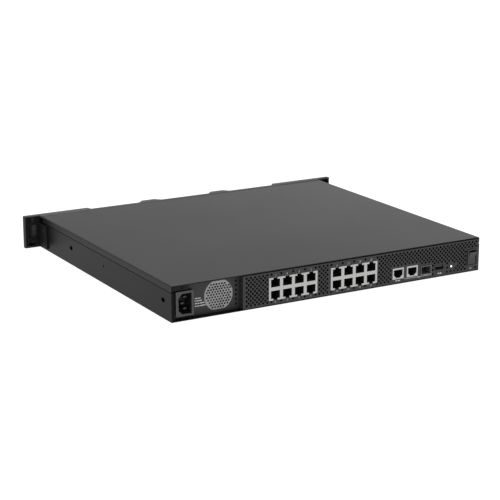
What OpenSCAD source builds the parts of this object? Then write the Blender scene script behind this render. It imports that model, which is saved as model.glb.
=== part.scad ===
// Rack network appliance, 1 unit high, seen from its port side.
// Millimetres, +Z up, front bezel towards -Y, port side towards +Y.
// The origin is the centre of the chassis underside.

/* [Chassis] */
// width of the sheet-metal chassis without its ears
body_w = 440; // [436:1:444]
// depth of the chassis from the bezel joint to the port side
body_d = 376; // [360:1:440]
// height of the chassis, one rack unit less its clearance
body_h = 43.6; // [43.4:0.1:44.2]
// thickness of the chassis sheet
sheet_t = 1.2; // [1:0.1:1.4]
// depth of the cover's side flanges
cover_flange = 8.3; // [7:0.1:10]

/* [Bezel and ears] */
// width across both rack ears
ear_span = 482.6; // [481:0.1:483.4]
// depth of the bezel in its air intakes
bezel_d = 10; // [8:0.5:12]
// how far the bezel's raised pads stand out from the intakes
pad_d = 8; // [5:0.5:10]
// distance between the rack slots' centres across the ears
slot_span = 465.1; // [464.6:0.1:465.6]
// distance between the upper and the lower rack slot
slot_pitch = 31.75; // [31.5:0.05:32]
// end-to-end length of a rack slot
slot_len = 10.3; // [9.5:0.1:11]
// width of a rack slot
slot_w = 6.8; // [6.4:0.1:7.2]

/* [Port side] */
// pitch of the perforation's columns
perf_step = 2.8; // [2.7:0.01:2.9]
// diameter of the perforation's holes
perf_d = 3; // [2.4:0.1:3]
// width of one socket column in a port block
jack_pitch = 16.55; // [16.2:0.05:16.7]
// width of a socket opening
jack_w = 12.2; // [11.6:0.1:12.4]
// left edge of port block one
block_1_x = 24.2; // [24:0.1:25]
// left edge of port block two
block_2_x = -62.4; // [-62.6:0.1:-62]
// recess of the power bay behind the port side
bay_recess = 8; // [6:0.5:9]

/* [Fan and switch] */
// side length of the fan frame
fan_size = 38; // [37.5:0.1:38]
// radius swept by the fan blades
fan_r = 17.2; // [16:0.1:17.3]
// number of fan blades
fan_blades = 7; // [5:1:9]
// tilt of the power rocker either side of its middle
rocker_tilt = 7; // [4:1:8]

/* [Hidden] */
hx = body_w / 2;
yr = body_d / 2;
yf = -body_d / 2;
gap = 0.3;
seam_z = body_h - cover_flange;
under = body_h - sheet_t;
io_x = 126;
bay_x = 216;
bay_y = yr - bay_recess;
nose_y = yf - bezel_d - pad_d;
recess_y = yf - bezel_d;
rack_z = body_h / 2;
fan_x = 154.3;
fan_z = 22;
vent_z = 21.8;
inlet_x = 201.6;
inlet_z = 19.8;
inlet_y = yr - 1.5;
board_z = 4.9;
board_t = 1.6;
top_z = board_z + board_t;
face_y = yr + 0.6;
jack_h = 28;
shield_t = 0.3;
main_h = 9.4;
latch_z = 2.3;
lan_h = 8.2;
lan_z = top_z + 3.6;
lan_x = [-94.7, -115.9];
sfp_x = -137.1;
usb_x = -157.7;
usb_z = 12.4;
led_x = -175.9;
led_z = 11.4;
sw_x = -209.2;
sw_z = 18.6;
sw_w = 16.2;
sw_h = 22;
pivot_y = yr - 4.6;
rocker_w = 10.4;
bore_y = bay_y - 3.8;
stand_x = [112, 57, -20, -74, -150, -205];
stand_y = [70, 148];
plan_tab = [[37, 45], [72, 64]];
tab_x = 204.6;
tab_z = 39.9;

// a solid drawn in the X-Z plane and given a thickness from y0 to y1
module along_y(y0, y1) {
    translate([0, y1, 0])
        rotate([90, 0, 0])
            linear_extrude(height = y1 - y0)
                children();
}

module box(x0, x1, y0, y1, z0, z1) {
    translate([x0, y0, z0])
        cube([x1 - x0, y1 - y0, z1 - z0]);
}

module rod(p, r, h, axis) {
    translate(p)
        rotate(axis == "y" ? [-90, 0, 0] : axis == "x" ? [0, 90, 0] : [0, 0, 0])
            cylinder(r = r, h = h, $fn = 32);
}

// a round wire through a list of points, with ball corners
module wire(points, r) {
    for (i = [0 : len(points) - 2]) {
        d = points[i + 1] - points[i];
        n = norm(d);
        translate(points[i])
            rotate([0, acos(d[2] / n), atan2(d[1], d[0])])
                cylinder(r = r, h = n, $fn = 24);
    }
    for (i = [1 : len(points) - 2])
        translate(points[i])
            sphere(r = r, $fn = 24);
}

module base_tray() {
    color("#3a3a3c") {
        difference() {
            union() {
                box(-hx, hx, yf, yr, 0, sheet_t);
                for (s = [0, 1])
                    mirror([s, 0, 0]) {
                        box(hx - sheet_t, hx, yf, yr, 0, seam_z - gap);
                        box(hx - 2 * sheet_t - 0.2, hx - sheet_t, yf + 4, yr - 4, seam_z - 4, under - 0.4);
                    }
                box(-hx, hx, yf, yf + sheet_t, 0, seam_z - gap);
                box(-hx + 2 * sheet_t + 0.2, hx - 2 * sheet_t - 0.2, yf, yf + sheet_t, 0, under - 0.4);
                box(bay_x, hx, yr - sheet_t, yr, 0, seam_z - gap);
                box(tab_x - 6, hx - sheet_t, yr - 6.4, yr - 5.2, seam_z + 0.8, under - 0.6);
            }
            for (s = [0, 1])
                mirror([s, 0, 0]) {
                    rod([hx - 3, 4.8, 22.3], 1.6, 6, "x");
                    for (y = [-94, 167]) {
                        box(hx - 3, hx + 3, y - 1.65, y + 1.65, 19.7, 24.9);
                        for (e = [-1.65, 1.65])
                            rod([hx - 3, y + e, 22.3], 2.6, 6, "x");
                    }
                }
            rod([tab_x, yr - 8, tab_z], 1.35, 6, "y");
            for (x = [-187, -112, -37, 38, 113, 188])
                box(x - 28, x + 28, yf - 1, yf + 3, 9, 34);
        }
    }
}

module top_cover() {
    color("#4b4b4d")
        difference() {
            union() {
                box(-hx, hx, yf, yr, under, body_h);
                for (s = [0, 1])
                    mirror([s, 0, 0])
                        box(hx - sheet_t, hx, yf, yr, seam_z, under);
                box(tab_x - 6.6, hx - sheet_t, yr - sheet_t, yr, seam_z + 2.3, under);
            }
            rod([tab_x, yr - 8, tab_z], 1.6, 12, "y");
        }
}

// one punched hole in column i and half-row r of the perforation
module perf_hole(i, r) {
    translate([io_x - 2.2 - i * perf_step, 41.2 - r * perf_step])
        circle(d = perf_d, $fn = 24);
}

// every hole of columns i0 to i1 from half-row 1 down to half-row r1
module perf_field(i0, i1, r1) {
    for (i = [i0 : i1])
        for (r = [1 : r1])
            if ((i + r) % 2 == 0)
                perf_hole(i, r);
}

// the single holes above and below a port block, between its columns
module between_holes(x0) {
    for (k = [1 : 3])
        for (z = [4.8, 38.4])
            translate([x0 + k * jack_pitch, z])
                circle(d = perf_d, $fn = 24);
}

module switch_outline(grow) {
    w = sw_w / 2 + grow;
    h = sw_h / 2 + grow;
    r = 2.2;
    translate([sw_x, sw_z]) {
        square([2 * w, 2 * h - 2 * r], center = true);
        square([2 * w - 2 * r, 2 * h], center = true);
        for (sx = [-1, 1])
            for (sz = [-1, 1])
                translate([sx * (w - r), sz * (h - r)])
                    circle(r = r, $fn = 32);
    }
}

module rear_io_panel() {
    w = 4 * jack_pitch;
    color("#37373a") {
        along_y(yr - sheet_t, yr)
            difference() {
                translate([-hx + sheet_t + 0.2, sheet_t + 0.1])
                    square([hx - sheet_t - 0.2 + io_x, under - 1 - sheet_t - 0.1]);
                for (x = [block_1_x, block_2_x])
                    translate([x - 0.85, top_z - 0.25])
                        square([w + 1.7, jack_h + 0.5]);
                for (x = lan_x)
                    translate([x - 8.55, top_z - 0.25])
                        square([17.1, 14.5]);
                translate([sfp_x - 8.2, top_z - 0.1])
                    square([16.4, 11.6]);
                translate([usb_x - 6.9, usb_z - 3.2])
                    square([13.8, 6.4]);
                translate([led_x, led_z])
                    circle(r = 1.8, $fn = 32);
                switch_outline(-0.9);
                perf_field(1, 11, 13);
                perf_field(37, 41, 13);
                perf_field(68, 74, 13);
                perf_field(75, 89, 6);
                perf_field(90, 96, 7);
                perf_field(97, 97, 13);
                perf_field(98, 104, 8);
                perf_field(105, 105, 13);
                perf_field(106, 108, 8);
                perf_field(109, 110, 9);
                perf_field(111, 115, 13);
                perf_field(116, 121, 3);
                between_holes(block_1_x);
                between_holes(block_2_x);
                for (i = [13, 35, 43, 67])
                    for (r = [1, 13])
                        perf_hole(i, r);
                for (i = [107, 109, 121])
                    perf_hole(i, 13);
                perf_hole(110, 12);
            }
        difference() {
            box(io_x - sheet_t, io_x, bay_y - 4, yr - sheet_t, sheet_t + 0.1, under - 1);
            for (k = [0 : 5])
                rod([io_x - 4, yr - 4.4, 7.5 + k * 5.6], 1.25, 8, "x");
        }
        box(-hx + 6, -hx + 20, yr - 8, yr - sheet_t, sheet_t + 0.1, 2.5);
        box(io_x - 16, io_x - sheet_t, yr - 8, yr - sheet_t, sheet_t + 0.1, 2.5);
    }
}

// the fan's vent: a round field cut flat above and below
module vent_outline(grow) {
    intersection() {
        translate([fan_x, vent_z])
            circle(r = 18.9 + grow, $fn = 96);
        translate([fan_x - 25, vent_z - 17.2 - grow])
            square([50, 34.4 + 2 * grow]);
    }
}

module power_bay_panel() {
    color("#2f2f31")
        along_y(bay_y - sheet_t, bay_y)
            difference() {
                translate([io_x + 0.2, sheet_t + 0.1])
                    square([hx - 2 * sheet_t - 0.5 - io_x - 0.2, under - 1.1 - sheet_t]);
                translate([inlet_x - 10, inlet_z - 14.3])
                    square([20, 28.6]);
                vent_outline(0.3);
                for (k = [0 : 5])
                    translate([131, 7.6 + k * 2 * perf_step])
                        circle(d = perf_d, $fn = 24);
            }
}

module cover_screw() {
    color("#1e1e20")
        difference() {
            union() {
                rod([tab_x, yr, tab_z], 2.2, 1.2, "y");
                rod([tab_x, yr - 8, tab_z], 1.25, 8, "y");
            }
            for (a = [0, 90])
                translate([tab_x, yr + 1.2, tab_z])
                    rotate([0, a, 0])
                        cube([2.6, 1.4, 0.6], center = true);
        }
}

// the bezel's outline seen from above, at one side of the middle
module bezel_plan(inset) {
    x_out = ear_span / 2 - inset;
    back = -yf;
    f = -nose_y - inset;
    r = -recess_y - inset;
    polygon([[-0.01, -back], [hx - inset, -back], [hx - inset, -r - inset],
        [x_out, -r - inset], [x_out, -f], [146.8 + inset, -f], [144.6 + inset, -r],
        [plan_tab[1][0] - inset * 0.6, -r], [plan_tab[1][1] - inset * 0.6, -f],
        [plan_tab[0][1] + inset * 0.6, -f], [plan_tab[0][0] + inset * 0.6, -r], [-0.01, -r]]);
}

module front_bezel() {
    color("#2b2b2d")
        for (s = [0, 1])
            mirror([s, 0, 0])
                difference() {
                    linear_extrude(height = body_h)
                        bezel_plan(0);
                    difference() {
                        translate([0, 0, 2.5])
                            linear_extrude(height = body_h - 5)
                                union() {
                                    bezel_plan(2.4);
                                    translate([-5, yf - bezel_d + 2.4])
                                        square([hx + 2.6, bezel_d]);
                                }
                        box(hx - 2.4, hx, recess_y - 1, yf, 0, body_h);
                    }
                    box(hx, ear_span / 2 - 2.4, recess_y - 2.6, recess_y + 1, 2.5, body_h - 2.5);
                    for (x = [[76, 139], [-1, 33]])
                        box(x[0], x[1], recess_y - 1, recess_y + 5, 6, body_h - 6);
                    translate([ear_span / 2, 0, 0])
                        rotate([90, 45, 0])
                            cube([6, 6, 1000], center = true);
                }
}

module bezel_grilles() {
    color("#161617")
        for (w = [[75, 140], [-34, 34], [-140, -75]])
            along_y(recess_y + 2.5, recess_y + 3.5)
                difference() {
                    translate([w[0], 4.5])
                        square([w[1] - w[0], body_h - 9]);
                    for (i = [0 : floor((w[1] - w[0] - 7) / 4.6)])
                        for (k = [0 : 5])
                            if (i % 2 == 0 || k < 5)
                                translate([w[0] + 3.6 + i * 4.6, 8.6 + k * 5.3 + (i % 2) * 2.65])
                                    circle(r = 2.2, $fn = 6);
                }
}

module rack_ear() {
    difference() {
        union() {
            box(hx + 0.05, ear_span / 2 - 2.6, recess_y + 0.05, recess_y + 2.05, 3, body_h - 3);
            box(hx + 0.05, hx + 2.05, recess_y + 0.05, yf + 17, 3, 33.5);
        }
        for (z = [-0.5, 0.5])
            translate([slot_span / 2, 0, rack_z + z * slot_pitch]) {
                for (s = [-1, 1])
                    rod([s * (slot_len - slot_w) / 2, recess_y - 1, 0], slot_w / 2, 5, "y");
                box(-(slot_len - slot_w) / 2, (slot_len - slot_w) / 2,
                    recess_y - 1, recess_y + 4, -slot_w / 2, slot_w / 2);
            }
        for (z = [9, 27.5])
            rod([hx - 1, yf + 9, z], 1.7, 5, "x");
        box(hx + 4, ear_span / 2 - 4.6, recess_y - 1, recess_y + 4, 13.5, 31.5);
    }
}

module rack_ear_left() {
    color("#2b2b2d")
        rack_ear();
}

module rack_ear_right() {
    color("#2b2b2d")
        mirror([1, 0, 0])
            rack_ear();
}

module ear_screws() {
    color("#3a3a3c")
        for (s = [0, 1])
            mirror([s, 0, 0])
                for (z = [9, 27.5])
                    rod([hx + 2.05, yf + 9, z], 3, 1.1, "x");
}

module psu_case() {
    color("#b9bbbd") {
        difference() {
            union() {
                box(129, 187, 20, bay_y - 2.4, 1.3, 2.3);
                box(129, 130, 20, bay_y - 2.4, 1.3, 41);
                box(186, 187, 20, bay_y - 2.4, 1.3, 41);
                box(129, 187, 20, 21, 1.3, 41);
                box(129, 187, bay_y - 3.4, bay_y - 2.4, 1.3, 41);
                along_y(bay_y - 3.4, bay_y - 0.1)
                    vent_outline(0);
            }
            along_y(bay_y - 6, bay_y)
                for (i = [-6 : 6])
                    for (k = [-6 : 6]) {
                        x = (i + 0.5 * (abs(k) % 2)) * 3.65 + 0.8;
                        z = k * 3.08 - 2.1;
                        if (norm([x, z]) < 17.2 && abs(z) < 15.6)
                            translate([fan_x + x, vent_z + z])
                                circle(r = 1.25, $fn = 24);
                    }
            for (i = [0 : 9])
                box(128, 131, 40 + i * 9, 44 + i * 9, 10, 34);
            box(185, 188, 100, 119, 8, 28);
            box(146, 158, 19, 22, 20, 30);
        }
    }
}

module psu_lid() {
    color("#b9bbbd")
        box(129, 187, 20, bay_y - 2.4, 41.05, 42);
}

module psu_board() {
    color("#3d5a2a") {
        box(131, 185.5, 24, 150, 6, 7.6);
        box(146.5, 158, 25, 31, 7.6, 29);
        box(176, 184, 101, 119, 7.6, 28);
        for (x = [135, 181])
            for (y = [30, 144])
                rod([x, y, 2.3], 2.4, 3.7, "z");
    }
}

module psu_transformer() {
    color("#6b5a2a") {
        box(140, 172, 70, 76, 7.6, 33);
        box(140, 172, 92, 98, 7.6, 33);
        box(150, 162, 76, 92, 10, 33);
        box(144, 168, 76, 92, 7.6, 10);
    }
}

module psu_capacitors() {
    color("#1f2d55") {
        for (x = [147, 169])
            rod([x, 132, 7.6], 9, 30, "z");
        for (x = [138, 150, 162])
            rod([x, 36, 7.6], 4.5, 18, "z");
    }
}

module psu_heatsink() {
    color("#9a9da0") {
        box(176, 178, 40, 96, 7.6, 36);
        for (k = [0 : 3])
            box(178, 183, 42 + k * 16, 44 + k * 16, 7.6, 36);
    }
}

// the appliance inlet's mouth: a portrait oblong with two cut corners
module inlet_mouth(w, h, c) {
    polygon([[-w / 2, -h / 2], [w / 2 - c, -h / 2], [w / 2, -h / 2 + c],
        [w / 2, h / 2 - c], [w / 2 - c, h / 2], [-w / 2, h / 2]]);
}

module inlet_bracket() {
    color("#8b8d8f") {
        difference() {
            box(inlet_x - 11.1, inlet_x + 11.9, inlet_y - 1.2, inlet_y, inlet_z - 14.5, inlet_z + 15.2);
            along_y(inlet_y - 2, inlet_y + 1)
                translate([inlet_x, inlet_z])
                    inlet_mouth(17.2, 24.8, 5);
        }
        box(inlet_x - 11.1, inlet_x - 10.2, bay_y + 0.05, inlet_y - 1.2, inlet_z - 14.5, inlet_z + 15.2);
    }
}

module inlet_socket() {
    color("#29292b")
        difference() {
            box(inlet_x - 9.7, inlet_x + 9.7, inlet_y - 25, inlet_y - 1.3, inlet_z - 14, inlet_z + 14);
            along_y(inlet_y - 17, inlet_y)
                translate([inlet_x, inlet_z])
                    inlet_mouth(16.8, 24.4, 4.9);
            for (p = [[-2, -7], [-2, 7], [2, 0]])
                box(inlet_x + p[0] - 2.05, inlet_x + p[0] + 2.05, inlet_y - 26, inlet_y - 16,
                    inlet_z + p[1] - 1.05, inlet_z + p[1] + 1.05);
        }
}

module inlet_pins() {
    color("#c9cac8")
        for (p = [[-2, -7, 0], [-2, 7, 0], [2, 0, 1]])
            difference() {
                box(inlet_x + p[0] - 2, inlet_x + p[0] + 2, inlet_y - 32, inlet_y - 4.8 + p[2],
                    inlet_z + p[1] - 1, inlet_z + p[1] + 1);
                rod([inlet_x + p[0], inlet_y - 29.6, inlet_z + p[1] - 2], 0.8, 4, "z");
            }
}

module mains_wires() {
    colors = ["#7a4a2a", "#2b4fa0", "#4a8a3a"];
    z_in = [inlet_z + 7, inlet_z - 7, inlet_z];
    x_in = [inlet_x - 2, inlet_x - 2, inlet_x + 2];
    for (i = [0 : 2])
        color(colors[i])
            wire([[x_in[i], inlet_y - 32, z_in[i]], [x_in[i], 114 - 4 * i, z_in[i]],
                [184, 114 - 4 * i, z_in[i]]], 0.9);
}

module fan_frame() {
    h = fan_size / 2;
    y0 = bore_y - 20;
    color("#1c1c1d") {
        difference() {
            box(fan_x - h, fan_x + h, y0, bore_y, fan_z - h, fan_z + h);
            rod([fan_x, y0 - 1, fan_z], fan_r + 0.7, 22, "y");
            for (sx = [-1, 1])
                for (sz = [-1, 1])
                    rod([fan_x + sx * 16, y0 - 1, fan_z + sz * 16], 1.6, 22, "y");
        }
        difference() {
            union() {
                rod([fan_x, y0, fan_z], 9.2, 3, "y");
                for (a = [20 : 90 : 290])
                    translate([fan_x, y0, fan_z])
                        rotate([0, a, 0])
                            translate([8.6, 0, -1])
                                cube([9.8, 2.4, 2]);
                rod([fan_x, y0 + 2, fan_z], 3, 8, "y");
            }
            rod([fan_x, y0 - 1, fan_z], 1.1, 15, "y");
        }
    }
}

module fan_rotor() {
    y0 = bore_y - 20;
    color("#29292b") {
        difference() {
            rod([fan_x, y0 + 3.6, fan_z], 9.4, 15, "y");
            rod([fan_x, y0 + 2, fan_z], 7.6, 14.4, "y");
        }
        rod([fan_x, y0 + 0.6, fan_z], 1.05, 17, "y");
        intersection() {
            for (i = [0 : fan_blades - 1])
                translate([fan_x, y0 + 11.2, fan_z])
                    rotate([0, i * 360 / fan_blades, 0])
                        rotate([38, 0, 0])
                            translate([8.6, -0.6, -8.6])
                                cube([9.6, 1.2, 17.2]);
            difference() {
                rod([fan_x, y0 + 4, fan_z], fan_r, 14.4, "y");
                rod([fan_x, y0 + 3, fan_z], 8.8, 17, "y");
            }
        }
    }
}

module fan_screws() {
    color("#b9bbbd")
        for (sx = [-1, 1])
            for (sz = [-1, 1])
                rod([fan_x + sx * 16, bore_y - 8, fan_z + sz * 16], 1.5, 8, "y");
}

module dc_harness() {
    for (i = [0 : 3])
        color(i % 2 == 0 ? "#b03028" : "#202020")
            wire([[149 + 2.2 * i, 25, 26], [149 + 2.2 * i, 10 - 2 * i, 26],
                [104 - 2 * i, 10 - 2 * i, 14], [104 - 2 * i, 71 + 2 * i, 14]], 0.8);
}

module dc_connector() {
    color("#e4e0d2")
        difference() {
            box(96, 106, 71, 84, top_z, 18);
            box(96.8, 105.2, 70, 79, 11.6, 16.6);
        }
}

module main_board() {
    color("#1f4a33")
        difference() {
            box(-216.5, 122, 60, 186, board_z, top_z);
            for (x = stand_x)
                for (y = stand_y)
                    rod([x, y, 0], 1.6, 20, "z");
            box(-218, -198, 168, 190, 0, 20);
        }
}

module board_standoffs() {
    color("#c2b48a")
        for (x = stand_x)
            for (y = stand_y)
                difference() {
                    translate([x, y, sheet_t])
                        cylinder(r = 2.9, h = board_z - sheet_t, $fn = 6);
                    rod([x, y, sheet_t + 0.5], 1.25, 8, "z");
                }
}

module board_screws() {
    color("#c9cac8")
        for (x = stand_x)
            for (y = stand_y) {
                rod([x, y, top_z], 2.7, 1.6, "z");
                rod([x, y, sheet_t + 0.8], 1.2, top_z, "z");
            }
}

// the mouth of one socket: latch notch down at s = 1, up at s = -1
module jack_mouth(s, grow) {
    scale_w = jack_w + 2 * grow;
    mirror([0, s < 0 ? 1 : 0, 0]) {
        translate([-scale_w / 2, -grow])
            square([scale_w, main_h + 2 * grow]);
        translate([-2.8 - grow, -1.6 - 10 * grow])
            square([5.6 + 2 * grow, 2 + 10 * grow]);
    }
}

// where each socket of a block has its latch side, as x offset, z and direction
function jack_places() = [for (k = [0 : 3], s = [1, -1])
    [(k + 0.5) * jack_pitch, s > 0 ? top_z + latch_z : top_z + jack_h - latch_z, s]];

module port_shield(x0) {
    w = 4 * jack_pitch;
    difference() {
        translate([x0 - 0.6, face_y - 27.4, top_z + 0.02])
            cube([w + 1.2, 27.4, jack_h - 0.02]);
        translate([x0 - 0.6 + shield_t, face_y - 28, top_z - 1])
            cube([w + 1.2 - 2 * shield_t, 28 - shield_t, jack_h + 1 - shield_t]);
        along_y(face_y - 1, face_y + 1)
            for (p = jack_places())
                translate([x0 + p[0], p[1]])
                    jack_mouth(p[2], 0.1);
    }
}

module port_bodies(x0) {
    for (k = [0 : 3])
        difference() {
            translate([x0 + k * jack_pitch + 0.35, face_y - 27, top_z + 0.05])
                cube([jack_pitch - 0.7, 26.6, jack_h - 0.4]);
            for (p = jack_places())
                if (abs(p[0] - (k + 0.5) * jack_pitch) < 1)
                    along_y(face_y - 15.4, face_y)
                        translate([x0 + p[0], p[1]])
                            jack_mouth(p[2], 0);
        }
}

// the mouth of a single socket, with its latch side rounded off below
module lan_mouth(grow) {
    w = jack_w / 2 + 0.3 + grow;
    polygon([[-w, lan_h + grow], [w, lan_h + grow], [w, 1.2], [3.4 + grow, -0.9],
        [3.4 + grow, -2 - grow], [-3.4 - grow, -2 - grow], [-3.4 - grow, -0.9], [-w, 1.2]]);
}

// eight sprung contacts rising from the back of a mouth, on the side away from its latch
module contacts(s, h) {
    mirror([0, 0, s < 0 ? 1 : 0])
        for (i = [0 : 7])
            translate([(i - 3.5) * 1.02 - 0.2, face_y - 15.3, h - 2.2])
                rotate([11, 0, 0])
                    cube([0.4, 8.6, 0.35]);
}

module port_contacts(x0) {
    for (p = jack_places())
        translate([x0 + p[0], 0, p[1]])
            contacts(p[2], main_h);
}

module port_shield_1() {
    color("#c6c7c6")
        port_shield(block_1_x);
}

module port_bodies_1() {
    color("#18181a")
        port_bodies(block_1_x);
}

module port_contacts_1() {
    color("#c9a24a")
        port_contacts(block_1_x);
}

module port_shield_2() {
    color("#c6c7c6")
        port_shield(block_2_x);
}

module port_bodies_2() {
    color("#18181a")
        port_bodies(block_2_x);
}

module port_contacts_2() {
    color("#c9a24a")
        port_contacts(block_2_x);
}

module lan_shields() {
    color("#c6c7c6")
        for (x = lan_x)
            difference() {
                translate([x - 8.3, face_y - 22, top_z + 0.02])
                    cube([16.6, 22, 14]);
                translate([x - 8.3 + shield_t, face_y - 23, top_z - 1])
                    cube([16.6 - 2 * shield_t, 23 - shield_t, 15 - shield_t]);
                along_y(face_y - 1, face_y + 1)
                    translate([x, lan_z])
                        lan_mouth(0.1);
            }
}

module lan_bodies() {
    color("#18181a")
        for (x = lan_x)
            difference() {
                translate([x - 7.95, face_y - 21.8, top_z + 0.05])
                    cube([15.9, 21.4, 13.6]);
                along_y(face_y - 15.4, face_y)
                    translate([x, lan_z])
                        lan_mouth(0);
            }
}

module lan_contacts() {
    color("#c9a24a")
        for (x = lan_x)
            translate([x, 0, lan_z])
                contacts(1, lan_h);
}

module sfp_cage() {
    color("#b4b6b8")
        difference() {
            box(sfp_x - 7.7, sfp_x + 7.7, yr - 46, yr + 0.9, top_z + 0.05, top_z + 10.9);
            box(sfp_x - 7.3, sfp_x + 7.3, yr - 45.6, yr + 2, top_z + 0.45, top_z + 10.5);
            box(sfp_x - 3, sfp_x + 3, yr - 38, yr - 14, top_z + 9, top_z + 12);
            for (k = [0 : 4])
                box(sfp_x - 5.9 + k * 2.6, sfp_x - 4.5 + k * 2.6, yr - 6, yr + 0.2, top_z + 9, top_z + 12);
        }
}

module sfp_connector() {
    color("#18181a")
        difference() {
            box(sfp_x - 6, sfp_x + 6, yr - 45.5, yr - 38, top_z + 0.6, top_z + 8.6);
            box(sfp_x - 5, sfp_x + 5, yr - 42, yr - 37, top_z + 3.8, top_z + 5.6);
        }
}

module usb_shell() {
    color("#c2c4c6")
        difference() {
            box(usb_x - 6.6, usb_x + 6.6, yr - 14, yr + 0.5, usb_z - 2.85, usb_z + 2.85);
            box(usb_x - 6.25, usb_x + 6.25, yr - 13, yr + 2, usb_z - 2.5, usb_z + 2.5);
        }
}

module usb_tongue() {
    color("#2a2a2c") {
        box(usb_x - 5.4, usb_x + 5.4, yr - 13, yr - 1, usb_z + 0.5, usb_z + 2.2);
        box(usb_x - 6.2, usb_x + 6.2, yr - 13, yr - 11.4, usb_z - 2.45, usb_z + 0.5);
        box(usb_x - 6.6, usb_x + 6.6, yr - 14, yr - 2, top_z, usb_z - 2.9);
    }
}

module status_led() {
    color("#f4f6ff") {
        rod([led_x, yr - 8, led_z], 1.5, 8, "y");
        translate([led_x, yr, led_z])
            sphere(r = 1.5, $fn = 32);
        box(led_x - 1.5, led_x + 1.5, yr - 10, yr - 4, top_z, led_z + 1.9);
    }
}

module switch_housing() {
    color("#141415")
        difference() {
            union() {
                along_y(yr, yr + 1.4)
                    switch_outline(0);
                along_y(yr - 17, yr)
                    switch_outline(-1.2);
                for (z = [-6, 0, 6])
                    box(sw_x - 3, sw_x + 3, yr - 23, yr - 16.5, sw_z + z - 0.4, sw_z + z + 0.4);
            }
            box(sw_x - rocker_w / 2 - 0.35, sw_x + rocker_w / 2 + 0.35, yr - 15.6, yr + 3,
                sw_z - 9.3, sw_z + 9.3);
            rod([sw_x - 6.4, pivot_y, sw_z], 1.25, 12.8, "x");
        }
}

module switch_rocker() {
    color("#232325")
        translate([sw_x - rocker_w / 2, pivot_y, sw_z])
            rotate([-rocker_tilt, 0, 0])
                difference() {
                    union() {
                        rotate([90, 0, 90])
                            linear_extrude(height = rocker_w)
                                polygon([[-4.2, -5], [-4.2, 5], [5.4, 7.9], [7.1, 8],
                                    [5.3, 4], [4.7, 0], [5.3, -4], [7.1, -8], [5.4, -7.9]]);
                        rod([-0.7, 0, 0], 1.2, rocker_w + 1.4, "x");
                    }
                    box(2, rocker_w - 2, -5, -2.6, -3, 3);
                }
}

module processor() {
    color("#2a2a2c")
        box(-20 + 8, 23, 92, 127, top_z, top_z + 2.2);
}

module heatsink() {
    color("#8f9296") {
        box(-18, 29, 86, 133, top_z + 2.25, top_z + 5);
        for (k = [0 : 11])
            box(-18 + k * 4.18, -18 + k * 4.18 + 1, 86, 133, top_z + 5, top_z + 22);
    }
}

module memory_chips() {
    color("#1b1b1d")
        for (k = [0 : 3])
            box(-44 - k * 15, -34 - k * 15, 98, 110, top_z, top_z + 1.1);
}

module phy_chips() {
    color("#1d1d20")
        for (x = [45, 72, -45, -8])
            box(x - 7, x + 7, 140, 154, top_z, top_z + 1.4);
}

module board_capacitors() {
    color("#2c3036")
        for (k = [0 : 5])
            rod([-88 - k * 11, 76, top_z], 4, 9.5, "z");
}

base_tray();
top_cover();
rear_io_panel();
power_bay_panel();
cover_screw();
front_bezel();
bezel_grilles();
rack_ear_left();
rack_ear_right();
ear_screws();
psu_case();
psu_lid();
psu_board();
psu_transformer();
psu_capacitors();
psu_heatsink();
inlet_bracket();
inlet_socket();
inlet_pins();
mains_wires();
fan_frame();
fan_rotor();
fan_screws();
dc_harness();
dc_connector();
main_board();
board_standoffs();
board_screws();
port_shield_1();
port_bodies_1();
port_contacts_1();
port_shield_2();
port_bodies_2();
port_contacts_2();
lan_shields();
lan_bodies();
lan_contacts();
sfp_cage();
sfp_connector();
usb_shell();
usb_tongue();
status_led();
switch_housing();
switch_rocker();
processor();
heatsink();
memory_chips();
phy_chips();
board_capacitors();
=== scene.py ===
import math

import bpy
import numpy as np
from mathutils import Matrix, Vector


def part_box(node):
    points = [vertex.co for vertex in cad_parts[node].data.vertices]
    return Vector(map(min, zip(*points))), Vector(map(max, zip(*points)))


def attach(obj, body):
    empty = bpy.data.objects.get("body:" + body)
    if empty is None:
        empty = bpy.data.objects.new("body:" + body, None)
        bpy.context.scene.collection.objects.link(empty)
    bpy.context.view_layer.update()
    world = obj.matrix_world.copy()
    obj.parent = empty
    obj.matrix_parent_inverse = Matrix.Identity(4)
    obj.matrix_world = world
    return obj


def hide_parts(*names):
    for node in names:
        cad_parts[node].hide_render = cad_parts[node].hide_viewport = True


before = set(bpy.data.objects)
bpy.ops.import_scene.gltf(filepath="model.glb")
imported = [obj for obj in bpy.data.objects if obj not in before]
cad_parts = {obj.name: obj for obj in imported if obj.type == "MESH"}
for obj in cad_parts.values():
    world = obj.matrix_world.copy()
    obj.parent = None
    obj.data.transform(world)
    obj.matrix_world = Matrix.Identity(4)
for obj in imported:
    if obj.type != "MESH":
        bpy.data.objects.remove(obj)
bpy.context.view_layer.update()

# ---------------------------------------------------------------------------
# Camera and studio. A long lens looks down on the port side and one flank of
# the appliance, over a pale floor that runs up into a pale backdrop, with
# one wide soft box and an even pale surround.
# ---------------------------------------------------------------------------
CAMERA_AZIMUTH = math.radians(150.03)
CAMERA_ELEVATION = math.radians(15.33)
CAMERA_DISTANCE = 2.061
CAMERA_SLIDE = (-0.0071, -0.0095)
LENS_MM, FILM_MM = 113.6, 36.0
CHASSIS_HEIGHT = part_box("top_cover")[1].z

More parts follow.
